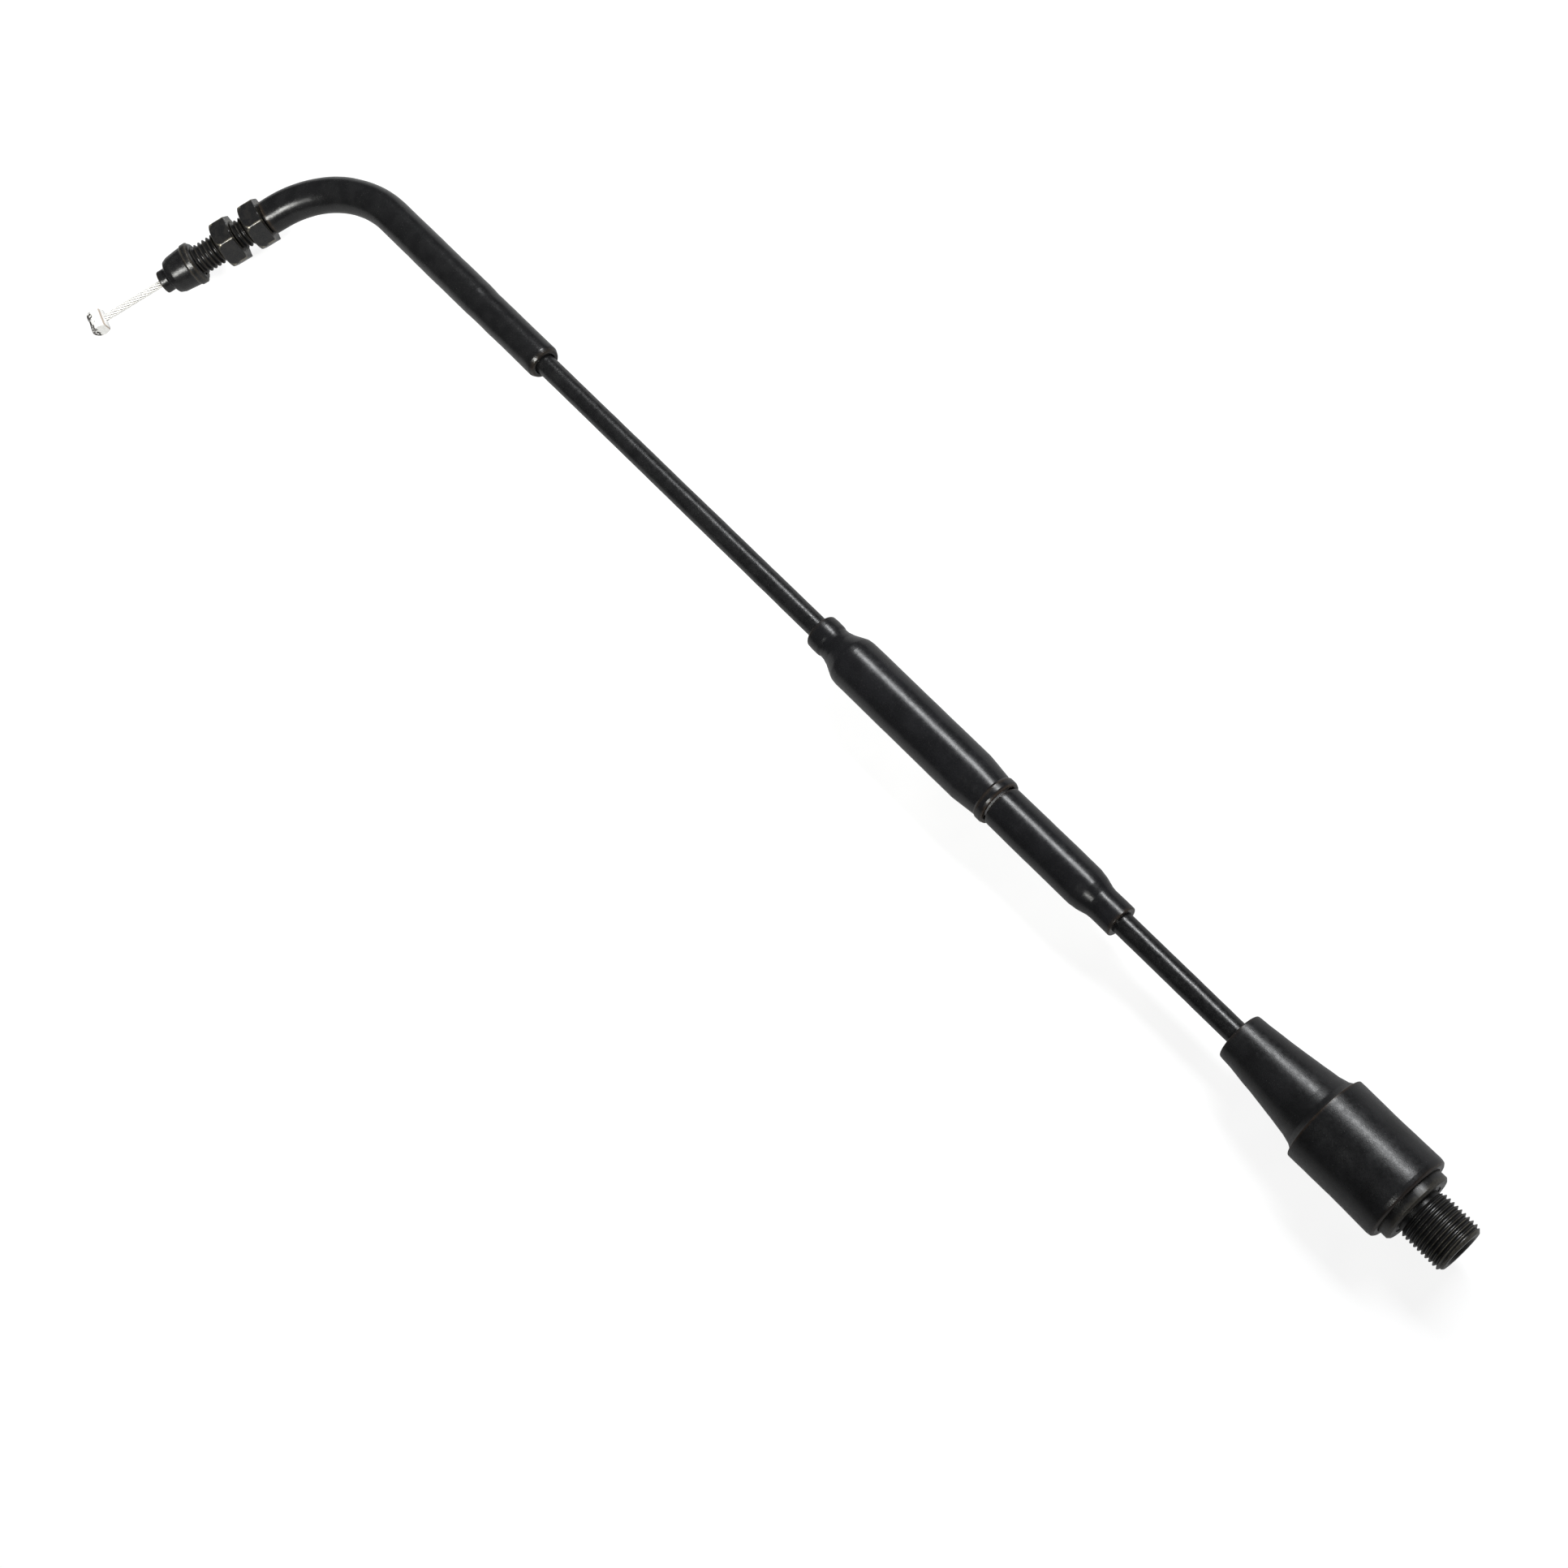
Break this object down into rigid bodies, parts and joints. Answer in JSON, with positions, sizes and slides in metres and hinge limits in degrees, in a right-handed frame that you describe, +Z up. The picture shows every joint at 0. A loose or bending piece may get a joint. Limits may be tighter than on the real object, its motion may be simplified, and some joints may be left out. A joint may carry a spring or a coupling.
{
  "type": "control cable",
  "caption": "Throttle cable: bent guide tube with two lock nuts and a drum nipple at one end, a booted in-line adjuster, and a swivelling threaded housing end with a rubber boot.",
  "frame": {"origin": "on the axis of the M12 housing thread, at the seating face of its collar", "axes": "+X along the long straight run, out of the M12 thread; +Z up, square to the plane the bent tube lies in; the bracket arm leaves the bend towards -Y"},
  "size_m": [0.4104, 0.0876, 0.021],
  "materials": {
    "zinc": "die-cast zinc, slightly dull",
    "wire_rope": "stranded galvanised steel",
    "black_rubber": "moulded, satin",
    "black_sleeve": "satin dipped PVC",
    "boot_rubber": "moulded, semi-gloss",
    "soft_boot_rubber": "moulded, matte",
    "black_steel": "black zinc plating",
    "black_nut": "black zinc plating, bright edges",
    "black_fitting": "black zinc plating",
    "brass_bush": "turned",
    "liner_plastic": "smooth, waxy",
    "plated_steel": "zinc plated",
    "spring_steel": "oiled",
    "casing_jacket": "extruded PVC, matte",
    "aluminium_barrel": "turned, knurled collar"
  },
  "bodies": {
    "guide_and_long_casing": {"bent_tube": "black_steel", "tube_mouth_bush": "brass_bush", "bend_liner": "liner_plastic", "inner_wire_bend": "wire_rope", "bend_sleeve": "black_sleeve", "tube_casing_ferrule": "plated_steel", "long_casing_jacket": "casing_jacket", "long_casing_conduit": "spring_steel", "long_casing_liner": "liner_plastic", "adjuster_inlet_ferrule": "plated_steel", "adjuster_screw": "plated_steel"},
    "drum_end_wire": {"drum_nipple": "zinc", "inner_wire_drum_side": "wire_rope"},
    "housing_end_wire": {"inner_wire_main": "wire_rope", "end_nipple": "zinc"},
    "dust_cap": {"thread_dust_cap": "black_rubber"},
    "front_nut": {"front_mount_nut": "black_nut"},
    "rear_nut": {"rear_mount_nut": "black_nut"},
    "lock_nut": {"adjuster_lock_nut": "plated_steel"},
    "large_boot": {"adjuster_boot_large": "boot_rubber"},
    "short_casing": {"adjuster_outlet_ferrule": "plated_steel", "short_casing_jacket": "casing_jacket", "short_casing_conduit": "spring_steel", "short_casing_liner": "liner_plastic", "swivel_ferrule": "plated_steel"},
    "barrel": {"adjuster_barrel": "aluminium_barrel"},
    "small_boot": {"adjuster_boot_small": "boot_rubber"},
    "fitting": {"housing_fitting": "black_fitting", "retaining_ring": "spring_steel", "wire_guide_bush": "liner_plastic"},
    "end_boot": {"housing_boot": "soft_boot_rubber"}
  },
  "joints": [
    {"name": "wire_travel", "type": "slide", "parent": "guide_and_long_casing", "child": "drum_end_wire", "axis": [-0.2924, -0.9563, 0], "range_m": [-0.01, 0.008]},
    {"name": "wire_travel_housing_end", "type": "slide", "parent": "guide_and_long_casing", "child": "housing_end_wire", "axis": [1, 0, 0], "range_m": [-0.008, 0.01]},
    {"name": "dust_cap_pull", "type": "slide", "parent": "guide_and_long_casing", "child": "dust_cap", "axis": [-0.2924, -0.9563, 0], "range_m": [0, 0.007]},
    {"name": "front_nut_run", "type": "slide", "parent": "guide_and_long_casing", "child": "front_nut", "axis": [-0.2924, -0.9563, 0], "range_m": [-0.001, 0.0055]},
    {"name": "rear_nut_run", "type": "slide", "parent": "guide_and_long_casing", "child": "rear_nut", "axis": [-0.2924, -0.9563, 0], "range_m": [0, 0.001]},
    {"name": "lock_nut_run", "type": "slide", "parent": "guide_and_long_casing", "child": "lock_nut", "axis": [1, 0, 0], "range_m": [-0.008, 0]},
    {"name": "large_boot_pull", "type": "slide", "parent": "guide_and_long_casing", "child": "large_boot", "axis": [1, 0, 0], "range_m": [-0.045, 0]},
    {"name": "adjuster_travel", "type": "slide", "parent": "guide_and_long_casing", "child": "short_casing", "axis": [1, 0, 0], "range_m": [0, 0.006]},
    {"name": "adjuster_turn", "type": "hinge", "parent": "short_casing", "child": "barrel", "pos_m": [-0.12, 0, 0], "axis": [1, 0, 0], "range_deg": [0, 2160.5]},
    {"name": "small_boot_pull", "type": "slide", "parent": "short_casing", "child": "small_boot", "axis": [1, 0, 0], "range_m": [0, 0.012]},
    {"name": "end_boot_pull", "type": "slide", "parent": "short_casing", "child": "end_boot", "axis": [1, 0, 0], "range_m": [-0.015, 0]},
    {"name": "fitting_swivel", "type": "hinge", "parent": "short_casing", "child": "fitting", "pos_m": [0, 0, 0], "axis": [1, 0, 0], "continuous": true}
  ],
  "couplings": [
    {"joint": "wire_travel_housing_end", "follows": "wire_travel", "ratio": -1},
    {"joint": "adjuster_turn", "follows": "adjuster_travel", "rad_per_m": 6283.2}
  ]
}
